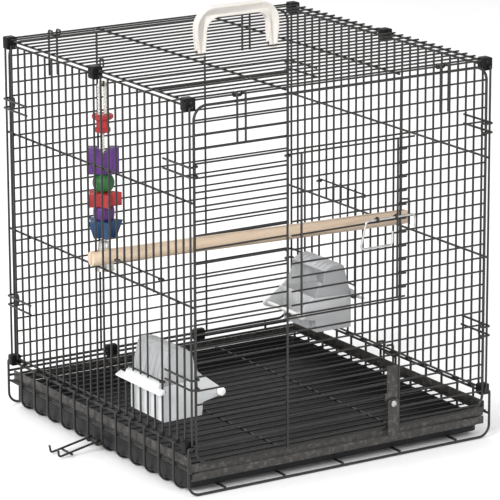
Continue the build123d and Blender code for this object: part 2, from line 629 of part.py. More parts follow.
def cup_bowl():
    """Feeder bowl hung on the sill by its bead and flange, with two arms for its perch."""
    wall = CUP_WALL
    rim = (CUP_BACK[0], CUP_BACK_RIM_Z)
    outer = [CUP_BACK, CUP_FLOOR, CUP_RIM, rim]
    inner = [(CUP_BACK[0] + wall, CUP_BACK[1] + wall), (CUP_FLOOR[0] - wall, CUP_FLOOR[1] + wall),
             (CUP_RIM[0] - wall, CUP_RIM[1] + wall), (CUP_BACK[0] + wall, CUP_RIM[1] + wall)]
    bowl = prism(at_depth(outer), *CUP_Y) - prism(at_depth(inner), CUP_Y[0] + wall, CUP_Y[1] - wall)
    flange_in = -WIRE_R - GAP
    bead = [(flange_in - wall, CUP_SEAT_Z), (CUP_BACK[0] + WELD, CUP_SEAT_Z), (CUP_BACK[0] + WELD, rim[1]),
            (CUP_BACK[0] - GAP, rim[1]), (CUP_BEAD, CUP_BEAD_Z), (flange_in, CUP_BEAD_Z - wall),
            (flange_in - wall, rim[1])]
    flange = [(flange_in, rim[1]), (flange_in, CUP_SEAT_Z - wall), FLANGE_TIP,
              (FLANGE_TIP[0], FLANGE_TIP[1] + wall)]
    middle = (CUP_Y[0] + CUP_Y[1]) / 2
    half = CUP_FLANGE / 2
    pieces = [bowl, prism(at_depth(bead), *CUP_Y), prism(at_depth(flange), middle - half, middle + half)]
    for number in range(CUP_RIBS):
        y = CUP_Y[0] + (number + 1) * CUP_WIDTH / (CUP_RIBS + 1)
        rib = [(CUP_FLOOR[0] - wall, CUP_FLOOR[1]), (CUP_FLOOR[0] + CUP_RIB, CUP_FLOOR[1] + CUP_RIB),
               (CUP_RIM[0] + CUP_RIB, CUP_RIM[1] - CUP_RIB), (CUP_RIM[0] - wall, CUP_RIM[1] - CUP_RIB)]
        pieces.append(prism(at_depth(rib), y - CUP_RIB, y + CUP_RIB))
    x = ARM_TIP[0] - SIDE_X
    for y in (CUP_Y[0], CUP_Y[1] - wall):
        arm = [(CUP_RIM[0] - wall, CUP_RIM[1] - GAP), (CUP_RIM[0] + CUP_RIB, CUP_RIM[1] - GAP),
               (ARM_TIP[0], ARM_TIP[1] + ARM_TIP_R), (ARM_TIP[0], ARM_TIP[1] - ARM_TIP_R),
               ARM_FOOT, (CUP_FLOOR[0] - wall, ARM_FOOT[1] - wall)]
        tip = rod((x, y, ARM_TIP[1]), (x, y + wall, ARM_TIP[1]), ARM_TIP_R)
        pieces += [prism(at_depth(arm), y, y + wall), tip]
    bore = rod((x, CUP_Y[0] - wall, ARM_TIP[1]), (x, CUP_Y[1] + wall, ARM_TIP[1]), CUP_PERCH_R + CLIP_SEAT)
    return weld(pieces) - bore


def cup_hood():
    """Clear hood that stands on the bowl: back, crown and two cheeks, open towards the cage."""
    wall = CUP_WALL
    rim = (CUP_BACK[0], CUP_BACK_RIM_Z)
    brow = HOOD_MOUTH[-1]
    shoulder = HOOD_CROWN[-1]
    outside = [rim, CUP_RIM, *HOOD_MOUTH, *HOOD_CROWN]
    inside = [(rim[0] + wall, CUP_BACK[1]), (rim[0] + wall, rim[1]),
              (shoulder[0] + wall, shoulder[1] - wall / 2)]
    inside += [(depth, z - wall) for depth, z in (*reversed(HOOD_CROWN[:-1]), brow)]
    inside += [(CUP_RIM[0] + wall, brow[1] - wall), (CUP_RIM[0] + wall, CUP_BACK[1])]
    return prism(at_depth(outside), *CUP_Y) - prism(at_depth(inside), CUP_Y[0] + wall, CUP_Y[1] - wall)


def cup_perch():
    """Small rod across the cup's arms with a knob at each end."""
    x = ARM_TIP[0] - SIDE_X
    z = ARM_TIP[1]
    ends = (CUP_Y[0] - GAP, CUP_Y[1] + GAP)
    return weld([rod((x, ends[0], z), (x, ends[1], z), CUP_PERCH_R),
                 rod((x, ends[0], z), (x, ends[0] - KNOB_LENGTH, z), KNOB_R),
                 rod((x, ends[1], z), (x, ends[1] + KNOB_LENGTH, z), KNOB_R)])


# ---- side clasps ----
def clasp():
    """Left clasp in its closed place: two legs on the pivot wire, with tips over the side panel."""
    ring = BASE_R + FIT + WIRE_R
    leg_x = RAIL_X + BASE_R + GAP + WIRE_R
    swing = hypot(PIVOT_X - SIDE_IN, SIDE_BOTTOM_Z - PIVOT_Z) + 2 * WIRE_R + GAP
    top = PIVOT_Z + sqrt(swing ** 2 - (PIVOT_X - leg_x) ** 2)
    foot = PIVOT_Z + BASE_R + FIT
    tip_x = SIDE_IN - WIRE_R - GAP
    pieces = []
    for side in (-1, 1):
        y = side * CLASP_LEGS / 2
        points = [(-leg_x, y, foot), (-leg_x, y, top), (-tip_x, y, top)]
        pieces.append(bent(points, HAIRPIN_BEND, WIRE_R))
        pieces.append(eye((-PIVOT_X, y, PIVOT_Z), (0, 1, 0), ring, WIRE_R))
    thumb = leg_x + 2 * WIRE_R - WELD
    reach = CLASP_LEGS / 2 + END_STUB
    pieces.append(rod((-thumb, -reach, CLASP_THUMB_Z), (-thumb, reach, CLASP_THUMB_Z), WIRE_R))
    return weld(pieces)


def open_clasp():
    pivot = Axis((-PIVOT_X, 0, PIVOT_Z), (0, 1, 0))
    return clasp().rotate(pivot, -CLASP_OPEN)


# ---- clips ----
def with_seats(block, wires):
    """Clip block with a seat for each wire that it holds."""
    for start, end, radius in wires:
        block = block - rod(start, end, radius + CLIP_SEAT)
    return block


def top_clip(side, y):
    """Snap block that ties the side panel's top wire to the roof's edge wire."""
    x = side * (SIDE_IN + ROOF_EDGE_X) / 2
    cover = WIRE_R + CLIP_COVER
    block = box((x - CLIP_X / 2, x + CLIP_X / 2), (y - CLIP_Y / 2, y + CLIP_Y / 2),
                (SIDE_TOP_Z - cover, ROOF_LOW_Z + cover))
    block = fillet(block.edges().filter_by(Axis.Y), CLIP_ROUND)
    ends = (y - CLIP_Y, y + CLIP_Y)
    wires = [((side * SIDE_IN, ends[0], SIDE_TOP_Z), (side * SIDE_IN, ends[1], SIDE_TOP_Z), WIRE_R),
             ((side * ROOF_EDGE_X, ends[0], ROOF_LOW_Z), (side * ROOF_EDGE_X, ends[1], ROOF_LOW_Z), WIRE_R)]
    for bar_y in (-ROOF_EDGE_Y, 0, ROOF_EDGE_Y):
        wires.append(((x - CLIP_X, bar_y, ROOF_Z), (x + CLIP_X, bar_y, ROOF_Z), BAR_R))
    upright = (side * SIDE_X, 0)
    wires.append(((*upright, SIDE_TOP_Z - 2 * cover), (*upright, SIDE_TOP_Z + WELD + CLIP_SEAT), WIRE_R))
    return with_seats(block, wires)


def base_clip(side, end):
    """Corner block that ties the side panel's bottom wire to the base rail."""
    y = end * (SIDE_BARS * PITCH + EDGE_BAR_Y) / 2
    x = side * (SIDE_IN + BASE_CLIP_SHIFT[0])
    z = SIDE_BOTTOM_Z + BASE_CLIP_SHIFT[1]
    block = box((x - CLIP_X / 2, x + CLIP_X / 2), (y - BASE_CLIP_Y / 2, y + BASE_CLIP_Y / 2),
                (z - BASE_CLIP_Z / 2, z + BASE_CLIP_Z / 2))
    block = fillet(block.edges().filter_by(Axis.Y), CLIP_ROUND)
    ends = (y - CLIP_Y, y + CLIP_Y)
    wires = [((side * SIDE_IN, ends[0], SIDE_BOTTOM_Z), (side * SIDE_IN, ends[1], SIDE_BOTTOM_Z), WIRE_R),
             ((side * TOP_RAIL_X, ends[0], TOP_RAIL_Z), (side * TOP_RAIL_X, ends[1], TOP_RAIL_Z), BASE_R)]
    return with_seats(block, wires)


def back_clip(side):
    """Wedge on the back that ties the back panel's bottom wire to the base's upper back rail."""
    x = side * (STRUT_X - CLIP_X)
    rail_z = BACK_RAILS_Z[1]
    block = box((x - CLIP_X / 2, x + CLIP_X / 2), (FRONT_Y - BACK_CLIP_Y / 2, FRONT_Y + BACK_CLIP_Y / 2),
                (rail_z - BACK_CLIP_COVER[0], BACK_BOTTOM_Z + BACK_CLIP_COVER[1]))
    block = chamfer(block.edges().filter_by(Axis.X), CLIP_ROUND)
    reach = (x - CLIP_X, x + CLIP_X)
    wires = [((reach[0], FRONT_Y, BACK_BOTTOM_Z), (reach[1], FRONT_Y, BACK_BOTTOM_Z), FRAME_R),
             ((reach[0], BASE_Y, rail_z), (reach[1], BASE_Y, rail_z), BASE_R)]
    return with_seats(block, wires)


# ---- handle ----
def handle():
    """Plastic carrying bow, clipped on one roof bar by a slotted foot at each end."""
    y = HANDLE_BAR * PITCH
    outer = [(HANDLE_FOOT[1], HANDLE_FOOT_Z), (HANDLE_KNEE[1], HANDLE_KNEE_Z),
             (HANDLE_SHOULDER, HANDLE_TOP_Z[1])]
    inner = [(HANDLE_FOOT[0], HANDLE_FOOT_Z - 1), (HANDLE_KNEE[0], HANDLE_KNEE_Z),
             (HANDLE_KNEE[0], HANDLE_TOP_Z[0])]
    depth = (y - HANDLE_DEPTH / 2, y + HANDLE_DEPTH / 2)
    bows = []
    for half, corner in zip((inner, outer), HANDLE_CORNERS):
        bow = prism(half + [(-x, z) for x, z in reversed(half)], *depth)
        bows.append(fillet(bow.edges().filter_by(Axis.Y).group_by(Axis.Z)[-1], corner))
    bow = bows[1] - bows[0]
    reach = HANDLE_SHOULDER + 1
    seat = rod((-reach, y, ROOF_Z), (reach, y, ROOF_Z), BAR_R + REST)
    mouth = box((-reach, reach), (y - HANDLE_MOUTH / 2, y + HANDLE_MOUTH / 2), (HANDLE_FOOT_Z - 1, ROOF_Z))
    return bow - seat - mouth


# ---- perch ----
def perch():
    """Round wooden perch laid on the lower cross wires; each slotted end straddles one bar."""
    z = CROSS_WIRES_Z[1] + WIRE_R + REST + PERCH_R
    left = (-SIDE_X, PERCH_LEFT_BAR * PITCH, z)
    right = (SIDE_X, PERCH_RIGHT_BAR * PITCH, z)
    along = (Vector(*right) - Vector(*left)).normalized()
    start = Vector(*left) - along * PERCH_OVERHANG
    end = Vector(*right) + along * PERCH_OVERHANG
    dowel = rod(tuple(start), tuple(end), PERCH_R)
    half = WIRE_R + GAP
    for x, y, _ in (left, right):
        side = 1 if x > 0 else -1
        slot = sorted((x - side * PERCH_SLOT / 2, x + side * 2 * PERCH_OVERHANG))
        dowel = dowel - box(slot, (y - half, y + half), (z - 2 * PERCH_R, z + 2 * PERCH_R))
    return dowel


# ---- hanging toy ----
TOY_Y = TOY_BAR * PITCH


def toy_at(z):
    return Location((TOY_X, TOY_Y, z))


def toy_bore(low, high):
    """Hole for the cord through a toy piece."""
    return rod((TOY_X, TOY_Y, low - 1), (TOY_X, TOY_Y, high + 1), TOY_CORD_R + CLIP_SEAT)


def toy_hook():
    """Wire hook over a roof bar that ends under the top of the cord's loop."""
    reach = LOOP_R + GAP + TOY_HOOK_R
    top = ROOF_Z + BAR_R + REST + TOY_HOOK_R
    low = LOOP_TOP_Z - 2 * LOOP_R - GAP - TOY_HOOK_R
    side = [(-reach, ROOF_Z - 2 * reach), (-reach, top), (reach, top), (reach, low), (-reach, low),
            (-reach, LOOP_TOP_Z)]
    return bent([(TOY_X, TOY_Y + y, z) for y, z in side], TOY_HOOK_BEND, TOY_HOOK_R)


def toy_loop():
    """Loop of thick cord from the hook down into the spool."""
    half = LOOP_STRANDS / 2
    low = SPOOL_Z[1] + REST
    top = LOOP_TOP_Z - LOOP_R
    side = [(-half, low), (-half, top), (half, top), (half, low)]
    return bent([(TOY_X + x, TOY_Y, z) for x, z in side], half - REST, LOOP_R)


def toy_cord():
    """Cord from the spool down through the toy pieces to the bell."""
    return rod((TOY_X, TOY_Y, BELL_Z[1] + REST), (TOY_X, TOY_Y, SPOOL_Z[1]), TOY_CORD_R)


def toy_spool():
    low, high = SPOOL_Z
    foot, waist, head = SPOOL_RADII
    rim = (high - low) / 4
    layers = ((low, rim, foot), (low, high - low, waist), (high - rim, rim, head))
    rounds = [rod((TOY_X, TOY_Y, z), (TOY_X, TOY_Y, z + tall), radius) for z, tall, radius in layers]
    return weld(rounds) - toy_bore(low, high)


def toy_block():
    """Wooden block with a V notch in its top."""
    low, high = BLOCK_Z
    half = BLOCK[0] / 2
    notch = (high - low) / 4
    points = [(-half, low), (half, low), (half, high), (notch, high), (0, high - notch), (-notch, high),
              (-half, high)]
    block = prism(points, -BLOCK[1] / 2, BLOCK[1] / 2)
    return Location((TOY_X, TOY_Y, 0), (0, 0, TOY_TURN)) * block - toy_bore(low, high)


def toy_bead():
    low, high = BEAD_Z
    middle = (low + high) / 2
    ball = toy_at(middle) * Sphere(BEAD_R)
    reach = 2 * BEAD_R
    slab = box((TOY_X - reach, TOY_X + reach), (TOY_Y - reach, TOY_Y + reach), (low, high))
    return (ball & slab) - toy_bore(low, high)


def star_outline(tip, dent):
    """Closed outline of a star about the cord."""
    corners = []
    for number in range(2 * STAR_POINTS):
        turn = radians(TOY_TURN) + number * pi / STAR_POINTS
        reach = dent if number % 2 else tip
        corners.append((reach * cos(turn), reach * sin(turn)))
    return make_face(Polyline(*corners, close=True))


def toy_star_piece(levels, radii):
    """Star-shaped block, narrower at its foot where its first radius is smaller."""
    low, high = levels
    foot, head, dent = radii
    ends = [Location((TOY_X, TOY_Y, low)) * star_outline(foot, dent * foot / head),
            Location((TOY_X, TOY_Y, high)) * star_outline(head, dent)]
    return loft(ends, ruled=True) - toy_bore(low, high)


def toy_barrel():
    low, high = BARREL_Z
    body = rod((TOY_X, TOY_Y, low), (TOY_X, TOY_Y, high), BARREL_R)
    return fillet(body.edges().filter_by(GeomType.CIRCLE), BARREL_R / 4) - toy_bore(low, high)


def toy_bell():
    """Thin bell, open below, with a staple for its clapper."""
    low, high = BELL_Z
    height = high - low
    outer = toy_at(low) * Cone(BELL_R, BELL_R * 0.55, height, align=(Align.CENTER, Align.CENTER, Align.MIN))
    inner = toy_at(low) * Cone(BELL_R - BELL_WALL, BELL_R * 0.55 - BELL_WALL, height - BELL_WALL,
                               align=(Align.CENTER, Align.CENTER, Align.MIN))
    return outer - inner


def toy_clapper():
    """Ball on a short wire under the bell's crown."""
    low, high = BELL_Z
    ball_z = low + CLAPPER_R + 1
    ball = toy_at(ball_z) * Sphere(CLAPPER_R)
    return weld([ball, rod((TOY_X, TOY_Y, ball_z), (TOY_X, TOY_Y, high - BELL_WALL), TOY_HOOK_R)])


def parts():
    """Every node of the carrier by name."""
    nodes = {
        "base_floor_wires": base_floor_wires(),
        "base_left_side": base_side(-1),
        "base_right_side": base_side(1),
        "base_back_rails": base_back_rails(),
        "tray_pan": tray_pan(),
        "tray_front_rail": tray_front_rail(),
        "floor_grille_wires": floor_grille_wires(),
        "floor_grille_rim": floor_grille_rim(),
        "front_panel": front_panel(),
        "back_panel": turned(frame_panel(BACK_BOTTOM_Z, BACK_BARS, doorway=False)),
        "roof_panel": roof_panel(),
        "handle": handle(),
        "front_door": front_door(),
        "door_latch": door_latch(),
        "lock_bracket": lock_bracket(),
        "lock_button": lock_button(),
        "lock_screw": lock_screw(),
        "perch": perch(),
        "left_clasp": open_clasp(),
        "right_clasp": turned(clasp()),
        "toy_hook": toy_hook(),
        "toy_loop": toy_loop(),
        "toy_cord": toy_cord(),
        "toy_spool": toy_spool(),
        "toy_block": toy_block(),
        "toy_bead": toy_bead(),
        "toy_star": toy_star_piece(STAR_Z, STAR_RADII),
        "toy_barrel": toy_barrel(),
        "toy_wings": toy_star_piece(WINGS_Z, WINGS_RADII),
        "toy_bell": toy_bell(),
        "toy_clapper": toy_clapper(),
    }
    sided = {"panel": side_panel(), "gate": feeder_gate(), "cup_bowl": cup_bowl(), "cup_hood": cup_hood(),
             "cup_perch": cup_perch()}
    for name, shape in sided.items():
        nodes["left_" + name] = shape
        nodes["right_" + name] = turned(shape)
    end_y = (SIDE_BARS * PITCH + EDGE_BAR_Y) / 2
    for side, label in ((-1, "left"), (1, "right")):
        for y, place in ((-end_y, "front"), (0, "middle"), (end_y, "back")):
            nodes[f"top_clip_{label}_{place}"] = top_clip(side, y)
        for end, place in ((-1, "front"), (1, "back")):
            nodes[f"base_clip_{label}_{place}"] = base_clip(side, end)
        nodes[f"back_clip_{label}"] = back_clip(side)
    return nodes


os.makedirs("parts", exist_ok=True)
for name, shape in parts().items():
    export_step(shape, f"parts/{name}.step")
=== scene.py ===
"""Looks of the bird travel carrier: coated wire, moulded cups, wooden perch and toy, ivory handle."""
import json
import math

import bmesh
import bpy
from mathutils import Euler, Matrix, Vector

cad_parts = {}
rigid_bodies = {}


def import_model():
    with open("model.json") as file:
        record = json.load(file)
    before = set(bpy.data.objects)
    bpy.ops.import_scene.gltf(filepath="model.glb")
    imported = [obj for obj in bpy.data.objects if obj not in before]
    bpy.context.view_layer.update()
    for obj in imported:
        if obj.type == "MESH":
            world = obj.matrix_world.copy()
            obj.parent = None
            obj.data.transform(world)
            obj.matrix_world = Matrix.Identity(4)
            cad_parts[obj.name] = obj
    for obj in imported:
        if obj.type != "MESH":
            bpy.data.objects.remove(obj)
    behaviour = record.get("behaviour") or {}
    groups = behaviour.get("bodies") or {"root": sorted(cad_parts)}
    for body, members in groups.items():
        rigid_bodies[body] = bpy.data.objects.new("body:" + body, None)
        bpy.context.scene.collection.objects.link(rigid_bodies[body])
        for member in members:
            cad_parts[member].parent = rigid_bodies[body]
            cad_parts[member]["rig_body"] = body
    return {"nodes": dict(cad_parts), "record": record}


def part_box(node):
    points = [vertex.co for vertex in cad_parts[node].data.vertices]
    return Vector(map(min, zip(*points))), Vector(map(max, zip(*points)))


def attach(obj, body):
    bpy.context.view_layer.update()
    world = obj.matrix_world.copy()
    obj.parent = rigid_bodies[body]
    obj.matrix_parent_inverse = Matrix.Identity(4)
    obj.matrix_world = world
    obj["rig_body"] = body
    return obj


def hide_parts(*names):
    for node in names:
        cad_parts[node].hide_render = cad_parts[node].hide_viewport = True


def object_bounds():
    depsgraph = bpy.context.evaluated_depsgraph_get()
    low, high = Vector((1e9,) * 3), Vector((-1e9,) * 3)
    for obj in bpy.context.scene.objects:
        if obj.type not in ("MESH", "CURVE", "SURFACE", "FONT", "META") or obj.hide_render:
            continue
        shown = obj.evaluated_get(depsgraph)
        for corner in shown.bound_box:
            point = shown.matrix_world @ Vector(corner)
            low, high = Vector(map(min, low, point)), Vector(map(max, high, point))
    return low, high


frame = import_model()
cad_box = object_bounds()
bpy.ops.object.select_all(action="DESELECT")

MM = 0.001
SMOOTH_FLAT = 35          # degrees: edges sharper than this stay sharp
SMOOTH_ROUND = 40
SMOOTH_ROPE = 50

# ---- camera ----
PIXELS = 500
FOCAL_PIXELS = 3489.2
CAMERA_AZIMUTH = -32.22
CAMERA_ELEVATION = 14.78
CAMERA_ROLL = 0.21
CAMERA_DISTANCE = 4.1518
CAMERA_TARGET = Vector((0.0076, 0.0, 0.2105))
SENSOR = 36.0


# ---- modelling helpers ----
def use(obj):
    """Make one object the only selected and active one."""
    bpy.ops.object.select_all(action="DESELECT")
    obj.select_set(True)
    bpy.context.view_layer.objects.active = obj


def settle(obj):
    """Bring the object to the origin, unturned, with its place in its mesh."""
    use(obj)
    bpy.ops.object.transform_apply(location=True, rotation=True, scale=True)
    return obj


def turned_bar(name, start, end, radius, sides=32):
    """Round primitive from one point to another."""
    start = Vector(start)
    along = Vector(end) - start
    bpy.ops.mesh.primitive_cylinder_add(vertices=sides, radius=radius, depth=along.length,
                                        location=start + along / 2,
                                        rotation=along.to_track_quat("Z", "Y").to_euler())
    obj = bpy.context.object
    obj.name = name
    return settle(obj)


def pick_faces(obj, test):
    """In edit mode, select only the faces whose middle and normal pass the test."""
    mesh = bmesh.from_edit_mesh(obj.data)
    for part in (*mesh.verts, *mesh.edges, *mesh.faces):
        part.select_set(False)
    mesh.select_flush(False)
    for face in mesh.faces:
        if test(face.calc_center_median(), face.normal):
            face.select_set(True)
    mesh.select_flush(True)
    bmesh.update_edit_mesh(obj.data)


def edit(obj, mode="FACE"):
    use(obj)
    bpy.ops.object.mode_set(mode="EDIT")
    bpy.ops.mesh.select_mode(type=mode)


def done():
    bpy.ops.object.mode_set(mode="OBJECT")


def modify(obj, kind, **settings):
    """Add a modifier with these settings and apply it."""
    use(obj)
    modifier = obj.modifiers.new(kind.title(), kind)
    for name, value in settings.items():
        setattr(modifier, name, value)
    bpy.ops.object.modifier_apply(modifier=modifier.name)


def smooth(obj, degrees):
    """Smooth shading but for edges sharper than an angle."""
    use(obj)
    bpy.ops.object.shade_smooth_by_angle(angle=math.radians(degrees))


def soften(obj, width, segments, angle):
    """Round the edges sharper than an angle and smooth the rest."""
    modify(obj, "BEVEL", width=width, segments=segments, limit_method="ANGLE",
           angle_limit=math.radians(angle), harden_normals=False)
    smooth(obj, SMOOTH_ROUND)


def join(name, pieces):
    """Join objects into the first one."""
    use(pieces[0])
    for piece in pieces:
        piece.select_set(True)
    bpy.ops.object.join()
    pieces[0].name = name
    return pieces[0]


def dress(obj, body, slot, material, *nodes):
    """Give a finished piece its material and its body, and hide the CAD nodes that it stands for."""
    obj.data.materials.clear()
    obj.data.materials.append(material)
    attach(obj, body)
    if nodes:
        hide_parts(*nodes)


# ---- material helpers ----
class Finish:
    """A node material with a Principled shader and a few short ways to drive it."""

    def __init__(self, name, color, roughness, metallic=0.0):
        self.material = bpy.data.materials.new(name)
        self.material.use_nodes = True
        self.nodes = self.material.node_tree.nodes
        self.links = self.material.node_tree.links
        self.shader = self.nodes["Principled BSDF"]
        self.shader.inputs["Base Color"].default_value = (*color, 1)
        self.shader.inputs["Roughness"].default_value = roughness
        self.shader.inputs["Metallic"].default_value = metallic
        self.place = self.nodes.new("ShaderNodeTexCoord").outputs["Object"]

    def set(self, **values):
        for name, value in values.items():
            self.shader.inputs[name.replace("_", " ")].default_value = value
        return self

    def node(self, kind, inputs=None, **settings):
        made = self.nodes.new(kind)
        for name, value in settings.items():
            setattr(made, name, value)
        for name, value in (inputs or {}).items():
            if isinstance(value, bpy.types.NodeSocket):
                self.links.new(value, made.inputs[name])
            else:
                made.inputs[name].default_value = value
        return made

    def mapping(self, scale=(1, 1, 1), rotation=(0, 0, 0)):
        return self.node("ShaderNodeMapping", {"Vector": self.place, "Scale": scale,
                                               "Rotation": rotation}).outputs["Vector"]

    def noise(self, scale, detail=3.0, roughness=0.55, vector=None):
        return self.node("ShaderNodeTexNoise", {"Vector": vector or self.place, "Scale": scale,
                                                "Detail": detail, "Roughness": roughness}).outputs["Fac"]

    def ramp(self, value, stops):
        made = self.node("ShaderNodeValToRGB", {"Fac": value})
        ramp = made.color_ramp
        while len(ramp.elements) < len(stops):
            ramp.elements.new(0.5)
        for element, (place, color) in zip(ramp.elements, stops):
            element.position = place
            element.color = (*color, 1)
        return made.outputs["Color"]

    def span(self, value, low, high):
        return self.node("ShaderNodeMapRange", {"Value": value, "From Min": 0.25, "From Max": 0.75,
                                                "To Min": low, "To Max": high}).outputs["Result"]

    def color(self, socket):
        self.links.new(socket, self.shader.inputs["Base Color"])

    def rough(self, socket):
        self.links.new(socket, self.shader.inputs["Roughness"])

    def bump(self, height, distance, strength):
        bump = self.node("ShaderNodeBump", {"Height": height, "Distance": distance, "Strength": strength})
        self.links.new(bump.outputs["Normal"], self.shader.inputs["Normal"])


def shade(color, factor):
    return tuple(min(1.0, channel * factor) for channel in color)


# ---- finishes ----
def hammered_coat(name, color, pebble, bright=1.9):
    """Dark hammered powder coat: mottled colour, pebbled surface, semi-gloss."""
    finish = Finish(name, color, 0.42, 0.15)
    mottle = finish.noise(pebble * 0.45, 4)
    finish.color(finish.ramp(mottle, [(0.30, shade(color, 0.55)), (0.52, color),
                                      (0.72, shade(color, bright))]))
    finish.rough(finish.span(finish.noise(pebble * 0.3, 2), 0.30, 0.52))
    finish.bump(finish.noise(pebble, 2), 0.0004, 0.5)
    return finish.set(Coat_Weight=0.12, Coat_Roughness=0.3).material


def zinc_plate(name, color):
    """Bright zinc plating with fine drawing marks and dull patches."""
    finish = Finish(name, color, 0.32, 1.0)
    patches = finish.noise(140, 4)
    finish.color(finish.ramp(patches, [(0.30, shade(color, 0.72)), (0.70, shade(color, 1.12))]))
    finish.rough(finish.span(finish.noise(320, 3), 0.24, 0.46))
    finish.bump(finish.noise(1500, 2), 0.0001, 0.3)
    return finish.material


def moulded(name, color, roughness, grain=2200, depth=0.00005, vary=0.04):
    """Moulded plastic: slight colour drift and a very fine grain."""
    finish = Finish(name, color, roughness)
    drift = finish.noise(22, 2)
    finish.color(finish.ramp(drift, [(0.3, shade(color, 1 - vary)), (0.7, shade(color, 1 + vary))]))
    finish.rough(finish.span(finish.noise(90, 3), roughness * 0.82, roughness * 1.2))
    finish.bump(finish.noise(grain, 2), depth, 0.4)
    return finish


def bare_wood(name, color, turn):
    """Pale turned wood with long grain, pores and a few darker streaks, along X after the turn."""
    finish = Finish(name, color, 0.55)
    along = finish.mapping(scale=(5, 130, 130), rotation=(0, 0, turn))
    grain = finish.noise(1.6, 6, 0.62, along)
    finish.color(finish.ramp(grain, [(0.28, shade(color, 0.68)), (0.46, shade(color, 0.93)),
                                     (0.60, color), (0.80, shade(color, 1.14))]))
    pores = finish.noise(7.0, 2, 0.5, along)
    finish.rough(finish.span(pores, 0.46, 0.66))
    finish.bump(pores, 0.00018, 0.5)
    return finish.material


def stained_wood(name, color):
    """Brightly stained toy wood; the grain shows through."""
    finish = Finish(name, color, 0.46)
    along = finish.mapping(scale=(120, 120, 26))
    grain = finish.noise(1.5, 5, 0.6, along)
    finish.color(finish.ramp(grain, [(0.30, shade(color, 0.55)), (0.52, color), (0.75, shade(color, 1.55))]))
    finish.rough(finish.span(finish.noise(5.0, 3, 0.5, along), 0.38, 0.58))
    finish.bump(grain, 0.00025, 0.5)
    return finish.material


def twisted_cord(name, color):
    """Twisted cotton cord: slanting strands with shaded gaps."""
    finish = Finish(name, color, 0.85)
    slanted = finish.mapping(rotation=(0.0, math.radians(35), 0.0))
    strands = finish.node("ShaderNodeTexWave", {"Vector": slanted, "Scale": 180.0, "Distortion": 1.5,
                                                "Detail": 2.0}, bands_direction="Z").outputs["Fac"]
    finish.color(finish.ramp(strands, [(0.15, shade(color, 0.6)), (0.6, color)]))
    finish.bump(strands, 0.0004, 0.8)
    return finish.set(Sheen_Weight=0.4).material


def milky_plastic(name, color):
    """Milky moulded plastic that lets some light through."""
    finish = moulded(name, color, 0.34)
    return finish.set(Subsurface_Weight=0.35, Subsurface_Radius=(0.006, 0.006, 0.006),
                      Transmission_Weight=0.12, IOR=1.49).material


def clear_plastic(name, color):
    """Smoky clear plastic of the cup hoods."""
    finish = moulded(name, color, 0.22, vary=0.02)
    return finish.set(Transmission_Weight=0.55, IOR=1.45, Alpha=0.92).material


COAT = (0.0125, 0.0115, 0.0105)
SHEET = (0.030, 0.028, 0.0255)
finishes = {
    "wire_dark": hammered_coat("hammered wire coat", COAT, 900),
    "sheet_dark": hammered_coat("hammered sheet coat", SHEET, 420, 3.2),
    "zinc_wire": zinc_plate("zinc plate", (0.62, 0.61, 0.59)),
    "tray_plastic": moulded("tray plastic", (0.0065, 0.007, 0.0085), 0.5, 1400, 0.0001, 0.2).set(
        Specular_IOR_Level=0.35).material,
    "ivory_plastic": moulded("ivory plastic", (0.68, 0.645, 0.60), 0.36).set(
        Subsurface_Weight=0.15, Subsurface_Radius=(0.004, 0.003, 0.002)).material,
    "clip_black": moulded("black clip plastic", (0.004, 0.004, 0.004), 0.55, vary=0.25).set(
        Specular_IOR_Level=0.2).material,
    "perch_wood": bare_wood("perch wood", (0.60, 0.465, 0.34), math.radians(4.6)),
    "cup_plastic": milky_plastic("milky cup plastic", (0.70, 0.71, 0.72)),
    "hood_clear": clear_plastic("smoky hood plastic", (0.68, 0.69, 0.70)),
    "white_plastic": moulded("white plastic", (0.88, 0.88, 0.86), 0.4).material,
    "toy_cord_white": twisted_cord("twisted cord", (0.80, 0.78, 0.72)),
    "toy_red": stained_wood("red stained wood", (0.36, 0.016, 0.02)),
    "toy_purple": stained_wood("purple stained wood", (0.075, 0.013, 0.15)),
    "toy_green": stained_wood("green stained wood", (0.008, 0.115, 0.02)),
    "toy_blue": stained_wood("blue stained wood", (0.005, 0.045, 0.125)),
    "bell_metal": zinc_plate("nickel bell", (0.72, 0.71, 0.69)),
}

slots = {part["node"]: part["material_slot"] for part in frame["record"]["subparts"]}
for node, obj in frame["nodes"].items():
    obj.data.materials.clear()
    obj.data.materials.append(finishes[slots[node]])
    smooth(obj, SMOOTH_FLAT)
bpy.ops.object.select_all(action="DESELECT")


# ---- moulded pieces: the CAD shape with rounded edges ----
def moulding(node, width, segments=2, angle=25):
    """Merged copy of a CAD node with its edges rounded."""
    source = frame["nodes"][node]
    obj = source.copy()
    obj.data = source.data.copy()
    obj.name = node + "_moulding"
    for key in list(obj.keys()):
        del obj[key]
    bpy.context.scene.collection.objects.link(obj)
    obj.parent = None
    obj.hide_render = False
    edit(obj)
    bpy.ops.mesh.select_all(action="SELECT")
    bpy.ops.mesh.remove_doubles(threshold=0.000002)
    bpy.ops.mesh.dissolve_limited(angle_limit=math.radians(1.0))
    done()
    soften(obj, width, segments, angle)
    return obj


def ring_step(center, radius, old_radius, rise, place):
    """Extrude the selected ring to the next radius and height of a lathe profile."""
    bpy.ops.mesh.extrude_region_move(TRANSFORM_OT_translate={"value": (0, 0, rise)})
    grow = radius / old_radius
    bpy.ops.transform.resize(value=(grow, grow, 1), center_override=(center[0], center[1], place))


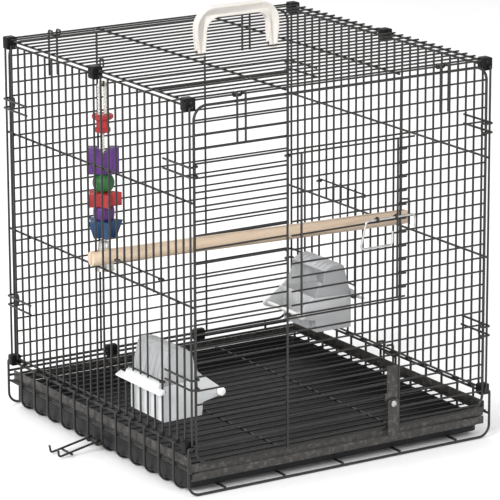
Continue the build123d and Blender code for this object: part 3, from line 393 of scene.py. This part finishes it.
def lathe(name, center, profile, sides):
    """Round piece about an upright axis from a closed profile of (radius, height) points in millimetres."""
    profile = [(radius * MM, height * MM) for radius, height in profile]
    radius, height = profile[0]
    bpy.ops.mesh.primitive_circle_add(vertices=sides, radius=radius, location=(*center, height))
    obj = bpy.context.object
    obj.name = name
    settle(obj)
    edit(obj, "EDGE")
    bpy.ops.mesh.select_all(action="SELECT")
    for (old, low), (new, high) in zip(profile, profile[1:] + profile[:1]):
        ring_step(center, new, old, high - low, high)
    bpy.ops.mesh.select_all(action="SELECT")
    bpy.ops.mesh.remove_doubles(threshold=0.00001)
    bpy.ops.mesh.normals_make_consistent(inside=False)
    done()
    smooth(obj, SMOOTH_ROUND)
    return obj


HANDLE_ROUND = 2.0        # millimetres, as are the sizes below
PANEL_RIM = 1.8           # rim left round the sunk panel of the handle
PANEL_SLOPE = 0.5
PANEL_DEPTH = 0.7
FLAT_FACE = 0.999         # how squarely a flat face of the handle looks along Y
MOULDING_EDGES = {
    "left_cup_bowl": 0.5, "right_cup_bowl": 0.5, "left_cup_perch": 1.2, "right_cup_perch": 1.2,
    "top_clip_left_front": 0.9, "top_clip_left_middle": 0.9, "top_clip_left_back": 0.9,
    "top_clip_right_front": 0.9, "top_clip_right_middle": 0.9, "top_clip_right_back": 0.9,
    "base_clip_left_front": 0.9, "base_clip_left_back": 0.9, "base_clip_right_front": 0.9,
    "base_clip_right_back": 0.9, "back_clip_left": 0.9, "back_clip_right": 0.9,
    "tray_pan": 0.3, "tray_front_rail": 0.25, "floor_grille_rim": 0.25, "lock_bracket": 0.3,
    "lock_button": 0.35, "perch": 1.0, "toy_block": 1.6, "toy_star": 1.8, "toy_wings": 1.8,
}


def moulded_pieces():
    for node, width in MOULDING_EDGES.items():
        body = frame["nodes"][node]["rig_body"]
        dress(moulding(node, width * MM), body, slots[node], finishes[slots[node]], node)


def handle():
    """Ivory carrying bow with rounded shoulders, a sunk panel in each face and slotted feet on a roof bar."""
    body = moulding("handle", HANDLE_ROUND * MM, 4, 50)
    edit(body)
    pick_faces(body, lambda at, normal: abs(normal.y) > FLAT_FACE)
    bpy.ops.mesh.inset(thickness=PANEL_RIM * MM, depth=0)
    bpy.ops.mesh.inset(thickness=PANEL_SLOPE * MM, depth=-PANEL_DEPTH * MM)
    done()
    smooth(body, SMOOTH_FLAT)
    dress(body, "handle", "ivory_plastic", finishes["ivory_plastic"], "handle")


HOOD_EDGE = 0.7
HOOD_BACK = 203           # distance of a hood's back plane from the middle of the cage
HOOD_PROFILE = [(4.2, 113.0), (15.2, 149.0), (20.2, 152.2), (32.0, 151.2), (40.5, 146.9)]
FLUTES = 7
FLUTE_RADIUS = 0.8
FLUTE_INSET = 4


def flutes(low, high, path):
    """Upright ribs along a profile of (x, z) points across a hood."""
    ribs = []
    for number in range(FLUTES):
        y = low + (number + 0.5) * (high - low) / FLUTES
        for (x0, z0), (x1, z1) in zip(path, path[1:]):
            ribs.append(turned_bar("flute", (x0, y, z0), (x1, y, z1), FLUTE_RADIUS * MM, 10))
    return ribs


def cup_hood(side):
    """Clear hood with rounded edges and flutes up its back and over its crown."""
    node = side + "_cup_hood"
    low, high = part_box(node)
    shell = moulding(node, HOOD_EDGE * MM, 3)
    out = -1 if side == "left" else 1
    inset = FLUTE_INSET * MM
    path = [(out * (HOOD_BACK - depth) * MM, z * MM) for depth, z in HOOD_PROFILE]
    hood = join(side + "_fluted_hood", [shell, *flutes(low.y + inset, high.y - inset, path)])
    smooth(hood, SMOOTH_FLAT)
    dress(hood, "cage", "hood_clear", finishes["hood_clear"], node)


def toy_centre():
    low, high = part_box("toy_bead")
    return (low.x + high.x) / 2, (low.y + high.y) / 2


BORE = 2.35               # radius of the bore for the cord
ROPE_PITCH = 11.0
ROPE_STEPS = 180
ROPE_STRANDS = 3
BEAD_Z = (299.7, 310.6, 321.5)
BEAD_RADIUS = 13
SPOOL = [(BORE, 371), (8.4, 371), (9.3, 371.9), (9.3, 375.4), (8.4, 376.4), (7.4, 377.2), (7.2, 381.0),
         (7.6, 385.2), (11.6, 386.8), (12.7, 388.2), (12.7, 390.8), (11.6, 392), (BORE, 392)]
BARREL = [(BORE, 266.5), (10.2, 266.5), (11.6, 267.6), (12.4, 270.4), (12.6, 274.7), (12.4, 279.0),
          (11.6, 281.9), (10.2, 283), (BORE, 283)]
BELL = [(1.2, 240), (5.6, 239.6), (6.9, 238.0), (7.8, 231), (9.0, 222), (10.3, 213), (11.3, 207.2),
        (12.0, 206.0), (11.8, 205.5), (10.9, 206.1), (9.4, 213), (8.1, 222), (6.9, 231), (6.0, 237.2),
        (4.8, 238.6), (1.2, 238.8)]
BELL_SIDES = 48


def bead():
    """Profile of the bead: an arc between the two ends of its bore."""
    low, middle, high = BEAD_Z
    turns = [math.radians(degrees) for degrees in range(-56, 57, 8)]
    arc = [(BEAD_RADIUS * math.cos(turn), middle + BEAD_RADIUS * math.sin(turn)) for turn in turns]
    return [(BORE, low), *arc, (BORE, high)]


def round_toys():
    """Turned toy pieces: spool, bead and barrel, each bored for the cord, and the spun bell."""
    for node, name, profile, sides in (("toy_spool", "turned_spool", SPOOL, 40),
                                       ("toy_bead", "green_bead", bead(), 40),
                                       ("toy_barrel", "turned_barrel", BARREL, 40),
                                       ("toy_bell", "spun_bell", BELL, BELL_SIDES)):
        obj = lathe(name, toy_centre(), profile, sides)
        dress(obj, "toy", slots[node], finishes[slots[node]], node)


def rope(name, length, radius):
    """Three-strand twisted rope along X, its middle at the origin."""
    strands = []
    for number in range(ROPE_STRANDS):
        turn = number * math.tau / ROPE_STRANDS
        bpy.ops.mesh.primitive_circle_add(
            vertices=12, radius=radius * 0.5, rotation=(0, math.pi / 2, 0),
            location=(-length / 2, math.cos(turn) * radius * 0.5, math.sin(turn) * radius * 0.5))
        strand = settle(bpy.context.object)
        modify(strand, "SCREW", axis="X", angle=length / (ROPE_PITCH * MM) * math.tau, screw_offset=length,
               steps=ROPE_STEPS, render_steps=ROPE_STEPS)
        edit(strand)
        bpy.ops.mesh.select_all(action="SELECT")
        bpy.ops.mesh.fill_holes(sides=0)
        bpy.ops.mesh.normals_make_consistent(inside=False)
        done()
        strands.append(strand)
    return join(name, strands)


def stand(obj, turn, place):
    """Turn a finished rope and bring it to its place."""
    obj.rotation_euler = turn
    obj.location = place
    settle(obj)
    smooth(obj, SMOOTH_ROPE)


def toy_ropes():
    """Straight rope through the toy pieces and the doubled loop that hangs on the hook."""
    x, y = toy_centre()
    low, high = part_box("toy_cord")
    radius = (high.x - low.x) / 2
    straight = rope("toy_rope", high.z - low.z, radius)
    stand(straight, (0, math.radians(-90), 0), (x, y, (low.z + high.z) / 2))
    dress(straight, "toy", slots["toy_cord"], finishes[slots["toy_cord"]], "toy_cord")
    low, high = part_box("toy_loop")
    radius = (high.y - low.y) / 2
    arm = (high.x - low.x) / 2 - radius
    bend = arm * math.pi
    run = high.z - radius - arm - low.z
    length = 2 * run + bend
    loop = rope("toy_rope_loop", length, radius)
    modify(loop, "SIMPLE_DEFORM", deform_method="BEND", deform_axis="Z", angle=math.pi,
           limits=(run / length, 1 - run / length))
    stand(loop, (math.radians(-90), 0, 0), (x, y, high.z - radius))
    dress(loop, "toy", slots["toy_loop"], finishes[slots["toy_loop"]], "toy_loop")


moulded_pieces()
handle()
cup_hood("left")
cup_hood("right")
round_toys()
toy_ropes()


# ---- surroundings ----
FLOOR_SIZE = 30
FLOOR_GAP = 0.0005
WORLD_STRENGTH = 0.8
LAMP_AIM = Vector((0, 0, 0.22))
LAMPS = (("key", (-2.4, -1.2, 1.7), 1.2, 78), ("fill", (0.4, -2.8, 1.5), 1.6, 16),
         ("back", (0.2, 2.2, 2.2), 1.6, 26))


def floor():
    bpy.ops.mesh.primitive_plane_add(size=FLOOR_SIZE, location=(0, 0, cad_box[0][2] - FLOOR_GAP))
    plane = bpy.context.object
    plane.name = "floor"
    settle(plane)
    paper = Finish("floor paper", (0.93, 0.93, 0.93), 0.9)
    paper.color(paper.ramp(paper.noise(3.0, 2), [(0.3, (0.92, 0.92, 0.92)), (0.7, (0.94, 0.94, 0.94))]))
    plane.data.materials.append(paper.material)


def lamp(name, place, size, power):
    bpy.ops.object.light_add(type="AREA", location=place)
    light = bpy.context.object
    light.name = name
    light.data.size = size
    light.data.energy = power
    aim = LAMP_AIM - Vector(place)
    light.rotation_euler = aim.to_track_quat("-Z", "Y").to_euler()


def surroundings():
    floor()
    world = bpy.data.worlds.new("studio")
    world.use_nodes = True
    world.node_tree.nodes["Background"].inputs["Color"].default_value = (1, 1, 1, 1)
    world.node_tree.nodes["Background"].inputs["Strength"].default_value = WORLD_STRENGTH
    bpy.context.scene.world = world
    bpy.context.scene.view_settings.view_transform = "Standard"
    for name, place, size, power in LAMPS:
        lamp(name, place, size, power)


def camera():
    azimuth = math.radians(CAMERA_AZIMUTH)
    elevation = math.radians(CAMERA_ELEVATION)
    back = Vector((math.sin(azimuth) * math.cos(elevation), -math.cos(azimuth) * math.cos(elevation),
                   math.sin(elevation)))
    bpy.ops.object.camera_add(location=CAMERA_TARGET + CAMERA_DISTANCE * back)
    view = bpy.context.object
    turn = (-back).to_track_quat("-Z", "Y").to_matrix().to_4x4()
    roll = Euler((0, 0, math.radians(-CAMERA_ROLL))).to_matrix().to_4x4()
    view.rotation_euler = (turn @ roll).to_euler()
    view.data.sensor_width = SENSOR
    view.data.lens = FOCAL_PIXELS / PIXELS * SENSOR
    view.data.clip_end = 60
    bpy.context.scene.camera = view


surroundings()
camera()
